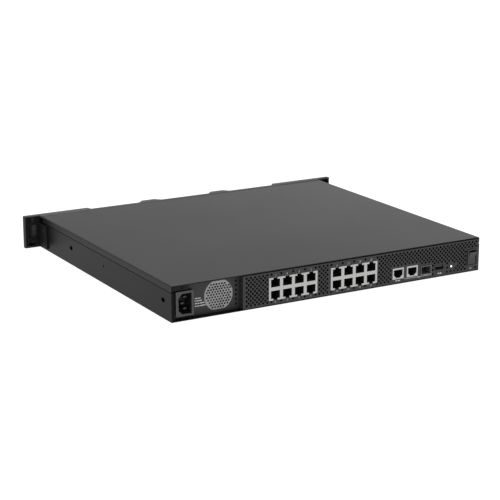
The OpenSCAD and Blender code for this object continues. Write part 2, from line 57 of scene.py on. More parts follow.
back = Vector((math.sin(CAMERA_AZIMUTH) * math.cos(CAMERA_ELEVATION),
               -math.cos(CAMERA_AZIMUTH) * math.cos(CAMERA_ELEVATION),
               math.sin(CAMERA_ELEVATION)))
right = Vector((math.cos(CAMERA_AZIMUTH), math.sin(CAMERA_AZIMUTH), 0.0))
up = back.cross(right)
lens = bpy.data.cameras.new("camera")
lens.lens, lens.sensor_width = LENS_MM, FILM_MM
lens.clip_start, lens.clip_end = 0.05, 50.0
camera = bpy.data.objects.new("camera", lens)
bpy.context.scene.collection.objects.link(camera)
camera.rotation_mode = "QUATERNION"
camera.location = (Vector((0.0, 0.0, CHASSIS_HEIGHT / 2)) + back * CAMERA_DISTANCE
                   + right * CAMERA_SLIDE[0] + up * CAMERA_SLIDE[1])
camera.rotation_quaternion = (-back).to_track_quat("-Z", "Y")
bpy.context.scene.camera = camera
bpy.context.scene.view_settings.view_transform = "Standard"


class Wire:
    """A shader socket that takes part in arithmetic; each operator adds one Math node."""

    def __init__(self, paint, socket):
        self.paint, self.socket = paint, socket

    def math(self, operation, *others):
        values = {i: v for i, v in enumerate((self, *others))}
        return self.paint.add("ShaderNodeMath", {"operation": operation}, values)

    def __add__(self, other):
        return self.math("ADD", other)

    def __mul__(self, other):
        return self.math("MULTIPLY", other)

    __radd__, __rmul__ = __add__, __mul__

    def above(self, level, softness):
        """0 below the level, 1 above it, with a smooth step as wide as the softness."""
        return self.paint.add("ShaderNodeMapRange", {"interpolation_type": "SMOOTHSTEP"}, {
            "Value": self, "From Min": level - softness / 2, "From Max": level + softness / 2})


class Paint:
    """One procedural finish: a Principled surface whose constants are set on its own sockets."""

    def __init__(self, name, color, roughness, metallic=0.0, **fixed):
        self.material = bpy.data.materials.new(name)
        self.material.use_nodes = True
        self.tree = self.material.node_tree
        self.surface = self.tree.nodes["Principled BSDF"]
        for key, value in {"Base Color": (*color, 1.0), "Roughness": roughness,
                           "Metallic": metallic, **fixed}.items():
            self.surface.inputs[key].default_value = value

    def put(self, target, value):
        """Links a wire to a socket, or sets the socket to a constant."""
        if isinstance(value, Wire):
            self.tree.links.new(value.socket, target)
        else:
            target.default_value = value

    def add(self, kind, settings=None, values=None, output=0):
        """Adds a node with its settings and inputs, and gives the wire of one output."""
        node = self.tree.nodes.new(kind)
        for key, value in (settings or {}).items():
            setattr(node, key, value)
        for key, value in (values or {}).items():
            self.put(node.inputs[key], value)
        return Wire(self, node.outputs[output])

    def place(self):
        """Object coordinates, in metres."""
        return self.add("ShaderNodeTexCoord", output="Object")

    def axes(self):
        split = self.add("ShaderNodeSeparateXYZ", values={"Vector": self.place()}).socket.node
        return [Wire(self, split.outputs[i]) for i in range(3)]

    def noise(self, per_metre, detail=2.0, stretch=None):
        """Noise with the given number of cells in a metre, stretched along the axes if asked."""
        where = self.place()
        if stretch:
            where = self.add("ShaderNodeMapping", values={"Vector": where, "Scale": stretch})
        return self.add("ShaderNodeTexNoise", values={
            "Vector": where, "Scale": per_metre, "Detail": detail, "Roughness": 0.5})

    def blend(self, mask, dark, light):
        """A colour between two others, by a mask from 0 to 1."""
        return self.add("ShaderNodeMix", {"data_type": "RGBA"},
                        {0: mask, 6: (*dark, 1.0), 7: (*light, 1.0)}, output=2)

    def bump(self, height, depth, strength):
        """Relief in the finish, whose full height is the depth in metres."""
        made = self.add("ShaderNodeBump", values={
            "Height": height, "Distance": depth, "Strength": strength})
        self.put(self.surface.inputs["Normal"], made)

    def feed(self, socket, value):
        """Links a varying value to one of the surface's inputs."""
        self.put(self.surface.inputs[socket], value)

    def on(self, *nodes):
        """Gives the finish to whole CAD nodes, in place of the plain ones they came with."""
        for node in nodes:
            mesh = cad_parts[node].data
            mesh.materials.clear()
            mesh.materials.append(self.material)


FLOOR_REACH, BACKDROP_RISE, SWEEP_RADIUS = 3.0, 3.0, 1.2
PAPER_SHADE, PAPER_GLOW, SURROUND_GLOW = 0.14, 0.94, 1.0
OVERHEAD_PLACE, OVERHEAD_SIDE, OVERHEAD_WATTS = (-0.2, -0.6, 2.4), 2.0, 50


def studio_sweep(steps=24):
    """A strip along X whose profile is flat in front of -reach, then a quarter circle of
    the sweep radius R, where (y, z) = (-reach - R sin t, R - R cos t), then straight up."""
    turn = np.linspace(0, math.pi / 2, steps)
    y = np.concatenate([[FLOOR_REACH * 2], -FLOOR_REACH - SWEEP_RADIUS * np.sin(turn),
                        [-FLOOR_REACH - SWEEP_RADIUS]])
    z = np.concatenate([[0.0], SWEEP_RADIUS * (1 - np.cos(turn)), [BACKDROP_RISE]])
    x = np.array([-2.0, 2.0]) * FLOOR_REACH
    grid = np.stack([np.repeat(x, len(y)), np.tile(y, 2), np.tile(z, 2)], -1)
    n = len(y)
    faces = [(i, i + 1, n + i + 1, n + i) for i in range(n - 1)]
    mesh = bpy.data.meshes.new("studio_floor")
    mesh.from_pydata(grid.tolist(), [], faces)
    mesh.shade_smooth()
    return mesh


floor = bpy.data.objects.new("studio_floor", studio_sweep())
bpy.context.scene.collection.objects.link(floor)
floor_paint = Paint("studio_paper", (PAPER_SHADE,) * 3, 0.9,
                    **{"Emission Color": (1.0,) * 4, "Emission Strength": PAPER_GLOW})
floor.data.materials.append(floor_paint.material)

world = bpy.data.worlds.new("surround")
world.use_nodes = True
world.node_tree.nodes["Background"].inputs["Color"].default_value = (1.0,) * 4
world.node_tree.nodes["Background"].inputs["Strength"].default_value = SURROUND_GLOW
bpy.context.scene.world = world

lamp = bpy.data.lights.new("overhead_box", "AREA")
lamp.shape, lamp.size, lamp.energy = "SQUARE", OVERHEAD_SIDE, OVERHEAD_WATTS
overhead = bpy.data.objects.new("overhead_box", lamp)
bpy.context.scene.collection.objects.link(overhead)
overhead.location = OVERHEAD_PLACE
overhead.rotation_mode = "QUATERNION"
overhead.rotation_quaternion = Vector(OVERHEAD_PLACE).to_track_quat("Z", "Y")

# ---------------------------------------------------------------------------
# Coated sheet: tray, port panel, bay panel and ears are cold-rolled steel with
# a fine-textured charcoal powder coat, which flows a little thinner on edges.
# ---------------------------------------------------------------------------
# One charcoal coat, set to a different tone on each part for how light falls on it: the rear-facing
# port and bay panels are paler as painted light, and the tray's flanks and the cover are darker as
# painted shade.
COVER_COAT_AND_SHADE, TRAY_COAT_AND_SHADE = (0.0092, 0.0092, 0.0096), (0.0045, 0.0045, 0.0048)
PANEL_COAT_AND_LIGHT, BAY_COAT_AND_LIGHT = (0.0235, 0.0235, 0.0255), (0.021, 0.0215, 0.0225)
# The ears' tone is set near black as painted shade, for the deep shade round the ears.
EAR_COAT_AND_SHADE = (0.007, 0.007, 0.0075)
GRAIN_PER_METRE, PEEL_PER_METRE, DRIFT_PER_METRE, COAT_RELIEF = 2600, 900, 7, 0.00007


def toned(color, share):
    """The colour made darker or lighter by a share, with no channel over 1."""
    return tuple(min(1.0, c * share) for c in color)


def powder_coat(name, color, roughness=0.52, sheen_level=0.32):
    """Fine orange-peel grain over a broad, faint drift of tone and gloss."""
    paint = Paint(name, color, roughness, **{"Specular IOR Level": sheen_level})
    grain, peel = paint.noise(GRAIN_PER_METRE, 3.0), paint.noise(PEEL_PER_METRE, 2.0)
    drift = paint.noise(DRIFT_PER_METRE, 2.0)
    paint.feed("Base Color", paint.blend(grain * 0.55 + drift * 0.45,
                                         toned(color, 0.8), toned(color, 1.2)))
    paint.feed("Roughness", roughness - 0.07 + peel * 0.08 + drift * 0.06)
    paint.bump(grain * 0.5 + peel * 0.5, COAT_RELIEF, 0.4)
    return paint


# The tray's very dark tone is painted shade on its flanks.
powder_coat("tray_coat_and_shade", TRAY_COAT_AND_SHADE, 0.3, 0.06).on("base_tray")
# The ears' near-black tone is painted shade.
powder_coat("ear_coat_and_shade", EAR_COAT_AND_SHADE, 0.52, 0.1).on("rack_ear_left", "rack_ear_right")
# The port and bay panels' paler tones are painted light on the rear-facing faces.
powder_coat("panel_coat_and_light", PANEL_COAT_AND_LIGHT).on("rear_io_panel")
powder_coat("bay_coat_and_light", BAY_COAT_AND_LIGHT).on("power_bay_panel")

# ---------------------------------------------------------------------------
# Top cover: one sheet folded down over both flanks on a press brake, with a
# small tab at the power end that the cover screw goes through.
# ---------------------------------------------------------------------------
SHEET, BEND, EDGE, SEAM = 0.0012, 0.0016, 0.00022, 0.0005
TAB_HOLE, TAB_HOLE_RADIUS = (0.2046, 0.0399), 0.0016
TAB_INNER_X, TAB_BOTTOM_Z = 0.198, 0.0376


def grid_faces(rows, columns, wrap_rows=False, wrap_columns=False):
    """Quads between neighbouring points of a grid, as an array of four corner numbers."""
    i = np.arange(rows if wrap_rows else rows - 1)[:, None]
    j = np.arange(columns if wrap_columns else columns - 1)[None, :]
    below, beside = (i + 1) % rows, (j + 1) % columns
    return np.stack([i * columns + j, below * columns + j,
                     below * columns + beside, i * columns + beside], -1).reshape(-1, 4)


def outward(points, faces):
    """Turns the faces round if their signed volume, summed over the two triangles of each
    quad about the middle of the points, shows them inside out."""
    p = points[faces]
    middle = points.mean(axis=0)
    a, b, c, d = (p[:, k] - middle for k in range(4))
    volume = (a * np.cross(b, c)).sum() + (a * np.cross(c, d)).sum()
    return faces if volume > 0 else faces[:, ::-1]


def gather(parts):
    """Several (points, faces) pairs as one."""
    starts = np.cumsum([0] + [len(p) for p, _ in parts[:-1]])
    return (np.concatenate([p for p, _ in parts]),
            np.concatenate([f + s for (_, f), s in zip(parts, starts)]))


def put_piece(name, shape, paint, body, crease=35.0, replaces=(), solid=None):
    """Makes the object, gives it its finish and fixes it to its body. A solid piece gets a
    wall of the thickness and offset given."""
    points, faces = shape
    mesh = bpy.data.meshes.new(name)
    mesh.from_pydata(points.tolist(), [], faces if isinstance(faces, list) else faces.tolist())
    mesh.shade_smooth()
    mesh.set_sharp_from_angle(angle=math.radians(crease))
    made = bpy.data.objects.new(name, mesh)
    bpy.context.scene.collection.objects.link(made)
    mesh.materials.append(paint.material)
    if solid:
        wall = made.modifiers.new("wall", "SOLIDIFY")
        wall.thickness, wall.offset = solid
    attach(made, body)
    if replaces:
        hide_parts(*replaces)


def bent_path(corners, radius, steps=8):
    """A polyline in a plane whose corners are arcs: each arc is centred where the two
    offset sides meet and runs from one tangent point to the other."""
    corners = np.asarray(corners, float)
    into = corners[1:-1] - corners[:-2]
    out = corners[2:] - corners[1:-1]
    into /= np.linalg.norm(into, axis=1)[:, None]
    out /= np.linalg.norm(out, axis=1)[:, None]
    t = np.linspace(0, math.pi / 2, steps)[None, :, None]
    centre = (corners[1:-1] - into * radius + out * radius)[:, None]
    arcs = centre + radius * (np.sin(t) * into[:, None] - np.cos(t) * out[:, None])
    return np.concatenate([corners[:1], arcs.reshape(-1, 2), corners[-1:]])


def folded_sheet(path, thickness, y0, y1, edge):
    """A sheet carried along a path in the X-Z plane: each path point is pushed along the
    path's normal by n and lies at depth y, where (n, y) goes round a long thin section
    whose corners are cut by the edge radius."""
    along = np.gradient(path, axis=0)
    along /= np.linalg.norm(along, axis=1)[:, None]
    normal = np.stack([-along[:, 1], along[:, 0]], -1)
    h = thickness / 2
    n = np.array([-h + edge, h - edge, h, h, h - edge, -h + edge, -h, -h])
    y = np.array([y0, y0, y0 + edge, y1 - edge, y1, y1, y1 - edge, y0 + edge])
    flat = path[:, None, :] + normal[:, None, :] * n[None, :, None]
    points = np.stack([flat[..., 0], np.broadcast_to(y, flat.shape[:2]), flat[..., 1]], -1)
    faces = grid_faces(len(path), 8, wrap_columns=True)
    ends = np.array([[0, 1, 4, 5], [0, 5, 6, 7], [1, 2, 3, 4]])
    last = (len(path) - 1) * 8
    points = points.reshape(-1, 3)
    faces = outward(points, faces)
    flip = faces[0, 0] != grid_faces(len(path), 8, wrap_columns=True)[0, 0]
    near, far = (ends[:, ::-1], ends + last) if flip else (ends, ends[:, ::-1] + last)
    return points, np.concatenate([faces, near, far])


def plate_round_hole(hole, radius, low, high, y, steps=64):
    """A flat plate in the X-Z plane: point (t, s) is a step s of the way from the hole's rim
    at angle t to where the ray at angle t leaves the plate's oblong."""
    t = np.linspace(0, 2 * math.pi, steps, endpoint=False) + math.pi / 4
    ray = np.stack([np.cos(t), np.sin(t)], -1)
    with np.errstate(divide="ignore"):
        reach = np.where(ray > 0, (np.array(high) - hole) / ray, (np.array(low) - hole) / ray)
    rim = np.array(hole) + ray * radius
    outer = np.array(hole) + ray * reach.min(axis=1)[:, None]
    s = np.linspace(0, 1, 4)[:, None, None]
    flat = rim * (1 - s) + outer * s
    points = np.stack([flat[..., 0], np.full(flat.shape[:2], y), flat[..., 1]], -1).reshape(-1, 3)
    return points, grid_faces(4, steps, wrap_columns=True)[:, ::-1]


cover_low, cover_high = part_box("top_cover")
mid = SHEET / 2
flange_z = cover_low.z + SEAM
cover_path = bent_path([[cover_low.x + mid, flange_z], [cover_low.x + mid, cover_high.z - mid],
                        [cover_high.x - mid, cover_high.z - mid], [cover_high.x - mid, flange_z]],
                       BEND - mid)
# The cover's coat is set darker than the port panel's, as painted shade.
cover_coat_and_shade = powder_coat("cover_coat_and_shade", COVER_COAT_AND_SHADE, 0.4, 0.095)
put_piece("cover_sheet", folded_sheet(cover_path, SHEET, cover_low.y + SEAM, cover_high.y, EDGE),
          cover_coat_and_shade, "chassis", replaces=("top_cover",))
put_piece("cover_tab", plate_round_hole(TAB_HOLE, TAB_HOLE_RADIUS, (TAB_INNER_X, TAB_BOTTOM_Z),
                                        (cover_high.x - SHEET, cover_high.z - SHEET), cover_high.y),
          cover_coat_and_shade, "chassis", solid=(SHEET, -1.0))

# ---------------------------------------------------------------------------
# Front bezel: a moulded shell clipped over the tray's front and the ears, with
# raised pads, sunken air intakes and softly rounded edges.
# ---------------------------------------------------------------------------
bezel_low, bezel_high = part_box("front_bezel")
PAD_DEPTH, BEZEL_WALL, BEZEL_ROUND, END_ROUND, DRAFT = 0.008, 0.0022, 0.0016, 0.0008, 0.0003
PAD_EDGES = (0.037, 0.045, 0.064, 0.072, 0.1446, 0.1468)
PAD_LEVELS = (1, 1, 0, 0, 1, 1, 0, 0)
INTAKES, INTAKE_MARGIN = ((-0.139, -0.076), (-0.033, 0.033), (0.076, 0.139)), 0.006
EXTRA_COLUMNS = (0.033, 0.041, 0.068, 0.076, 0.139, 0.1457, 0.152, 0.174, 0.196, 0.218)
HALF_BODY, EAR_STEP = cover_high.x, 0.0001


def bezel_shell():
    """Grid of (s, t): s runs across the front, where the face stands at the pads' depth or
    the intakes' depth with straight slopes between; t runs up the profile from the lower
    back edge, round the lower edge on an arc, up the face, round the upper edge and back.
    Past the body, the profile stops at the ear's back."""
    width, face = bezel_high.x, bezel_low.y
    slopes_x = np.array([0, *PAD_EDGES, width])
    slopes_y = face + PAD_DEPTH * np.array(PAD_LEVELS)
    turn = np.linspace(0, math.pi / 2, 7)
    half_x = np.unique(np.concatenate([slopes_x[:-1], EXTRA_COLUMNS,
                                       [HALF_BODY, HALF_BODY + EAR_STEP]]))
    half_y = np.interp(half_x, slopes_x, slopes_y)
    end_x = width - DRAFT - END_ROUND * (1 - np.sin(turn))
    end_y = face + END_ROUND * (1 - np.cos(turn))
    half_x = np.concatenate([half_x, end_x, [width]])
    half_y = np.concatenate([half_y, end_y, [face + PAD_DEPTH]])
    x = np.concatenate([-half_x[:0:-1], half_x])
    y = np.concatenate([half_y[:0:-1], half_y])
    behind = np.where(np.abs(x) > HALF_BODY, face + PAD_DEPTH, bezel_high.y)
    r, top = BEZEL_ROUND, bezel_high.z
    levels = [INTAKE_MARGIN, top / 2, top - INTAKE_MARGIN]
    rows_y = np.concatenate([[0.0], 1 - np.sin(turn), [0.0] * 3, 1 - np.cos(turn), [0.0]]) * r
    rows_z = np.concatenate([[0.0], r * (1 - np.cos(turn)), levels,
                             top - r + r * np.sin(turn), [top]])
    y_grid = np.minimum(y[:, None] + rows_y[None, :], behind[:, None] - DRAFT)
    y_grid[:, 0] = y_grid[:, -1] = behind
    points = np.stack([np.broadcast_to(x[:, None], y_grid.shape), y_grid,
                       np.broadcast_to(rows_z, y_grid.shape)], -1).reshape(-1, 3)
    faces = grid_faces(len(x), len(rows_z))
    middle = points[faces].mean(axis=1)
    window = (middle[:, 2] > levels[0]) & (middle[:, 2] < levels[2])
    window &= middle[:, 1] < face + PAD_DEPTH + r / 2
    low, high = np.array(INTAKES).T
    beyond, before = middle[:, :1] > low, middle[:, :1] < high
    window &= (beyond & before).any(axis=1)
    return points, outward(points, faces[~window])


bezel_finish = powder_coat("bezel_finish", (0.022, 0.022, 0.023), 0.46, 0.3)
put_piece("bezel_shell", bezel_shell(), bezel_finish, "chassis",
          solid=(BEZEL_WALL, -1.0), replaces=("front_bezel",))
powder_coat("grille_black", (0.01, 0.01, 0.0105), 0.5).on("bezel_grilles")

# ---------------------------------------------------------------------------
# Screws: one black pan head in the cover's tab and two in each ear's flange,
# cold-headed with a cross recess.
# ---------------------------------------------------------------------------
EAR_HEAD_PLACES, EAR_HEAD_Y = [(-1, 0.009), (-1, 0.0275), (1, 0.009), (1, 0.0275)], -0.179
EAR_HEAD_RADIUS, EAR_HEAD_RISE, TAB_HEAD_RADIUS, TAB_HEAD_SPIN = 0.003, 0.0011, 0.0022, 0.3
CROSS_HALF, CROSS_REACH, CROSS_DEPTH, CROWN_FALL = 0.17, 0.62, 0.55, 0.55
EAR_SPIN_PER_METRE = 90


def pan_head(centre, axis, radius, height, spin=0.0, rings=16, spokes=40):
    """Polar grid: height is a flattened dome in the radius, less a cross recess with soft
    sides; the last ring drops to the seat, and a point closes the crown and the seat."""
    axis = np.asarray(axis, float)
    side = np.cross(axis, [0.31, 0.72, 0.62])
    side /= np.linalg.norm(side)
    other = np.cross(axis, side)
    s = np.concatenate([np.linspace(0.02, 1, rings), [1.0]])[:, None]
    t = np.linspace(0, 2 * math.pi, spokes, endpoint=False)[None, :] + spin
    u, v = s * np.cos(t), s * np.sin(t)
    arm = np.minimum(np.abs(u), np.abs(v))
    slot = np.clip((CROSS_HALF - arm) / 0.05, 0, 1) * np.clip((CROSS_REACH - s) / 0.1, 0, 1)
    rise = height * (np.sqrt(1 - CROWN_FALL * s ** 2) - CROSS_DEPTH * slot)
    rise[-1] = 0
    points = (np.asarray(centre) + radius * (u[..., None] * side + v[..., None] * other)
              + rise[..., None] * axis).reshape(-1, 3)
    crown, seat, end = len(points), len(points) + 1, rings * spokes
    ring = np.arange(spokes)
    beside = (ring + 1) % spokes
    points = np.concatenate([points, centre + np.array([[rise[0].mean()], [0.0]]) * axis])
    top_fan = np.stack([0 * ring + crown, ring, beside, beside], -1)
    base_fan = np.stack([end + ring, 0 * ring + seat, 0 * ring + seat, end + beside], -1)
    faces = np.concatenate([grid_faces(rings + 1, spokes, wrap_columns=True), top_fan, base_fan])
    return points, outward(points, faces)


def tidy(shape):
    """Drops the doubled corner of faces that close a pole."""
    points, faces = shape
    return points, [list(dict.fromkeys(f)) for f in np.asarray(faces).tolist()]


black_zinc = powder_coat("black_zinc", (0.006, 0.006, 0.0065), 0.34, 0.15)
tab_head_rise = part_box("cover_screw")[1].y - cover_high.y
put_piece("cover_screw_head",
          tidy(pan_head((TAB_HOLE[0], cover_high.y, TAB_HOLE[1]), (0, 1, 0), TAB_HEAD_RADIUS,
                        tab_head_rise, TAB_HEAD_SPIN)),
          black_zinc, "chassis", replaces=("cover_screw",))
ear_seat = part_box("ear_screws")[1].x - EAR_HEAD_RISE
ear_heads = [pan_head((side * ear_seat, EAR_HEAD_Y, z), (side, 0, 0), EAR_HEAD_RADIUS,
                      EAR_HEAD_RISE, z * EAR_SPIN_PER_METRE) for side, z in EAR_HEAD_PLACES]
# The ear screws take the ears' near-black tone, which is painted shade.
put_piece("ear_screw_heads", tidy(gather(ear_heads)),
          powder_coat("ear_screw_zinc_and_shade", EAR_COAT_AND_SHADE, 0.5, 0.15), "chassis",
          replaces=("ear_screws",))

# ---------------------------------------------------------------------------
# Printed marks: pale ink screened on the panels, in millimetres. Port numbers,
# plain bars in place of words, a bracket under the cage, and a rating block.
# ---------------------------------------------------------------------------
INK_LIFT, DIGIT_WIDTH, DIGIT_HEIGHT, STROKE = 0.00006, 1.0, 1.7, 0.55
UPPER_NUMBERS_Z, LOWER_NUMBERS_Z = 36.9, 4.5
PANEL_FACE, BAY_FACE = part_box("rear_io_panel")[1].y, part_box("power_bay_panel")[1].y
SEGMENTS = {1: "bc", 2: "abged", 3: "abgcd", 4: "fgbc", 5: "afgcd", 6: "afgedc", 7: "abc",
            8: "abcdefg", 9: "abcdfg", 0: "abcdef"}
STROKES = {"a": (0, 1, True), "b": (1, 0.5, False), "c": (1, -0.5, False), "d": (0, -1, True),
           "e": (-1, -0.5, False), "f": (-1, 0.5, False), "g": (0, 0, True)}


def number_bars(value, x, z, width=DIGIT_WIDTH, height=DIGIT_HEIGHT, stroke=STROKE):
    """Bars (x, z, width, height), in millimetres, that spell a number in straight strokes.
    The reader's left is +X."""
    digits = [int(d) for d in str(value)]
    bars = []
    for place, digit in enumerate(digits):
        middle = x - (place - (len(digits) - 1) / 2) * (width + 2.2 * stroke)
        for name in SEGMENTS[digit]:
            u, v, across = STROKES[name]
            size = (width + stroke, stroke) if across else (stroke, height / 2 + stroke)
            bars.append((middle - u * width / 2, z + v * height / 2, *size))
    return bars


def ink(bars, y):
    """Each bar is one quad that faces +Y, a hair in front of the panel."""
    b = np.asarray(bars, float) / 1000
    left, right = b[:, 0] + b[:, 2] / 2, b[:, 0] - b[:, 2] / 2
    low, high = b[:, 1] - b[:, 3] / 2, b[:, 1] + b[:, 3] / 2
    level = np.full(len(b), y + INK_LIFT)
    points = np.stack([np.stack([left, level, low], -1), np.stack([left, level, high], -1),
                       np.stack([right, level, high], -1), np.stack([right, level, low], -1)], 1)
    return points.reshape(-1, 3), np.arange(len(b) * 4).reshape(-1, 4)


COLUMN, FIRST_COLUMNS = 16.55, (24.2, -62.4)
marks = []
for block, start in enumerate(FIRST_COLUMNS):
    for column in range(4):
        number = block * 8 + (3 - column) * 2 + 1
        middle = start + (column + 0.5) * COLUMN
        marks += number_bars(number, middle, UPPER_NUMBERS_Z)
        marks += number_bars(number + 1, middle, LOWER_NUMBERS_Z)
marks += [(-92.6, 4.3, 2.7, 1.4), (-96.4, 4.3, 3.4, 1.4)]
marks += [(-125.2, 4.9, 41.2, 0.5), (-104.8, 5.5, 0.5, 1.6), (-145.6, 5.5, 0.5, 1.6),
          (-126.4, 4.6, 4.2, 1.7), (-136.0, 6.0, 1.3, 0.9), (-138.4, 6.0, 1.3, 0.9)]
marks += [(-156.9, 4.6, 2.6, 1.5), (-160.1, 4.6, 2.8, 1.5)]
marks += [(-205.9, 4.4, 0.5, 2.2), (-207.6, 5.3, 1.8, 0.45), (-207.6, 3.5, 1.8, 0.45),
          (-206.9, 4.4, 0.45, 2.0), (-208.3, 4.4, 0.45, 2.0)]
rating = [(184.0, 21.7, 3.4, 1.25), (180.6, 21.7, 2.4, 1.1), (178.6, 21.7, 1.2, 1.1),
          (184.9, 18.7, 1.6, 1.2), (182.2, 18.7, 2.8, 1.1), (178.4, 18.7, 4.2, 1.25),
          (184.3, 15.6, 2.8, 1.25), (180.9, 15.6, 2.8, 1.1), (176.4, 15.6, 5.2, 1.25),
          (173.2, 15.6, 0.9, 1.1), (184.6, 12.4, 2.2, 1.25), (181.4, 12.4, 3.2, 1.1),
          (176.0, 12.4, 6.4, 1.25), (172.05, 12.4, 1.2, 1.1)]


def pale_ink(name, shade):
    """Screened ink, thin enough that the coat's grain mottles it."""
    paint = Paint(name, (shade, shade, shade), 0.6)
    speck = paint.noise(2400, 2.0)
    paint.feed("Base Color", paint.blend(speck.above(0.42, 0.3), (shade * 0.6,) * 3, (shade,) * 3))
    paint.bump(speck, 0.00003, 0.3)
    return paint


put_piece("port_marks", ink(marks, PANEL_FACE), pale_ink("port_ink", 0.46),
          "chassis")
put_piece("rating_marks", ink(rating, BAY_FACE), pale_ink("rating_ink", 0.5),
          "chassis")

# ---------------------------------------------------------------------------
# Port blocks: folded nickel shields round moulded black bodies, with eight
# gilt spring contacts in each mouth.
# ---------------------------------------------------------------------------
def plated(name, color, roughness, metallic=1.0, streaks=(1, 1, 1)):
    """Rolled and plated metal: fine streaks in gloss, with faint handling marks."""
    paint = Paint(name, color, roughness, metallic)
    line, blot = paint.noise(500, 3.0, stretch=streaks), paint.noise(60, 2.0)
    paint.feed("Base Color", paint.blend(line * 0.6 + blot * 0.4,
                                         toned(color, 0.86), toned(color, 1.1)))
    paint.feed("Roughness", roughness - 0.08 + line * 0.12 + blot * 0.06)
    paint.bump(line, 0.00002, 0.25)
    return paint


def moulded(name, color, roughness=0.42, level=0.4, grain=1500):
    """Moulded plastic: spark-eroded grain with slightly glossier patches."""
    paint = Paint(name, color, roughness, **{"Specular IOR Level": level})
    fine, patch = paint.noise(grain, 3.0), paint.noise(90, 2.0)
    paint.feed("Base Color", paint.blend(fine * 0.5 + patch * 0.5,
                                         toned(color, 0.82), toned(color, 1.18)))
    paint.feed("Roughness", roughness - 0.06 + patch * 0.12)
    paint.bump(fine, 0.00006, 0.35)
    return paint


plated("shield_nickel", (0.43, 0.427, 0.42), 0.42, 0.75, (1, 1, 9)).on(
    "port_shield_1", "port_shield_2", "lan_shields")
moulded("body_black", (0.010, 0.010, 0.0105)).on("port_bodies_1", "port_bodies_2", "lan_bodies")
plated("contact_gilt", (0.42, 0.30, 0.12), 0.35, 1.0, (1, 6, 1)).on(
    "port_contacts_1", "port_contacts_2", "lan_contacts")

# ---------------------------------------------------------------------------
# Transceiver cage and the small socket beside it: tinned folded sheet that has
# dulled, round dark moulded connectors.
# ---------------------------------------------------------------------------
plated("cage_tin", (0.26, 0.26, 0.265), 0.45, 0.8, (1, 8, 1)).on("sfp_cage")
plated("dark_shell", (0.06, 0.06, 0.065), 0.4, 0.8, (8, 1, 1)).on("usb_shell")
moulded("connector_black", (0.014, 0.014, 0.015)).on("sfp_connector")
moulded("tongue_grey", (0.03, 0.03, 0.032)).on("usb_tongue")

# ---------------------------------------------------------------------------
# Status light: a smoked light pipe through the panel, ending in a small domed
# lens that glows white.
# ---------------------------------------------------------------------------
PIPE_X, PIPE_Z, LENS_SKIRT = -0.1759, 0.0114, 0.0002
DOME_RADIUS, DOME_REACH = 0.00156, math.radians(54)


def turned(profile, x, z, steps=48):
    """A (radius, y) profile turned about an axis along Y. Its first and last points lie on
    the axis, where each closes the surface with a fan of triangles."""
    t = np.linspace(0, 2 * math.pi, steps, endpoint=False)[None, :]
    inner = np.asarray(profile)[1:-1]
    radius, y = inner[:, :1], inner[:, 1:]
    rings = np.stack([x + radius * np.cos(t), np.broadcast_to(y, (len(inner), steps)),
                      z + radius * np.sin(t)], -1).reshape(-1, 3)
    points = np.concatenate([rings, [[x, profile[0][1], z], [x, profile[-1][1], z]]])
    ring = np.arange(steps)
    beside = (ring + 1) % steps
    first, last = np.full(steps, len(rings)), np.full(steps, len(rings) + 1)
    end = len(rings) - steps
    faces = np.concatenate([grid_faces(len(inner), steps, wrap_columns=True),
                            np.stack([first, ring, beside, first], -1),
                            np.stack([end + ring, last, last, end + beside], -1)])
    return tidy((points, outward(points, faces)))


lens_paint = Paint("lit_lens", (0.9, 0.93, 1.0), 0.3, **{"Emission Strength": 1.1})
glow = lens_paint.noise(900, 1.0)
lens_paint.feed("Emission Color", lens_paint.blend(glow, (0.85, 0.9, 1.0), (1.0, 1.0, 1.0)))
moulded("smoked_pipe", (0.012, 0.012, 0.013), 0.3).on("status_led")
bow = np.linspace(DOME_REACH, 0, 9)
dome = DOME_RADIUS * np.stack([np.sin(bow), np.cos(bow)], -1) + [0, PANEL_FACE]
skirt = dome[:1] * [[0, 1], [1, 1]] - [0, LENS_SKIRT]
put_piece("status_lens", turned(np.concatenate([skirt, dome]), PIPE_X, PIPE_Z), lens_paint,
          "chassis")

# ---------------------------------------------------------------------------
# Power switch: a snap-in housing with a rounded rim, and a rocker with a
# dished face that tilts on its two side pins.
# ---------------------------------------------------------------------------
rim_low, rim_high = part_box("switch_housing")
RIM_BAND, RIM_CORNER, RIM_SEAT, RIM_CREST, RIM_FULLNESS = 0.0021, 0.0026, 0.0002, 0.0021, 0.7


def oblong_ring(low, high, corner, steps=10):
    """Points round an oblong with rounded corners in X-Z, and their outward normals: four
    quarter circles joined by straight sides."""
    t = np.linspace(0, math.pi / 2, steps)[None, :] + np.arange(4)[:, None] * math.pi / 2
    middle = (np.array(low) + np.array(high)) / 2
    half = (np.array(high) - np.array(low)) / 2 - corner
    signs = np.array([[1, 1], [-1, 1], [-1, -1], [1, -1]])
    normal = np.stack([np.cos(t), np.sin(t)], -1)
    outline = (middle + signs * half)[:, None] + normal * corner
    return outline.reshape(-1, 2), normal.reshape(-1, 2)


def swept_rim(low, high, corner, band, base_y, top_y, steps=9):
    """A rounded band carried round an oblong: at angle a of a half turn the section goes
    inwards from the outline by band (1 - cos a) / 2 and forwards by a power of sin a."""
    outline, normal = oblong_ring(low, high, corner)
    a = np.linspace(0, math.pi, steps)
    inset = band * (1 - np.cos(a)) / 2
    y = base_y + (top_y - base_y) * np.sin(a) ** RIM_FULLNESS
    flat = outline[:, None] - normal[:, None] * inset[None, :, None]
    points = np.stack([flat[..., 0], np.broadcast_to(y, flat.shape[:2]), flat[..., 1]], -1)
    faces = grid_faces(len(outline), steps, wrap_rows=True, wrap_columns=True)
    return points.reshape(-1, 3), outward(points.reshape(-1, 3), faces)


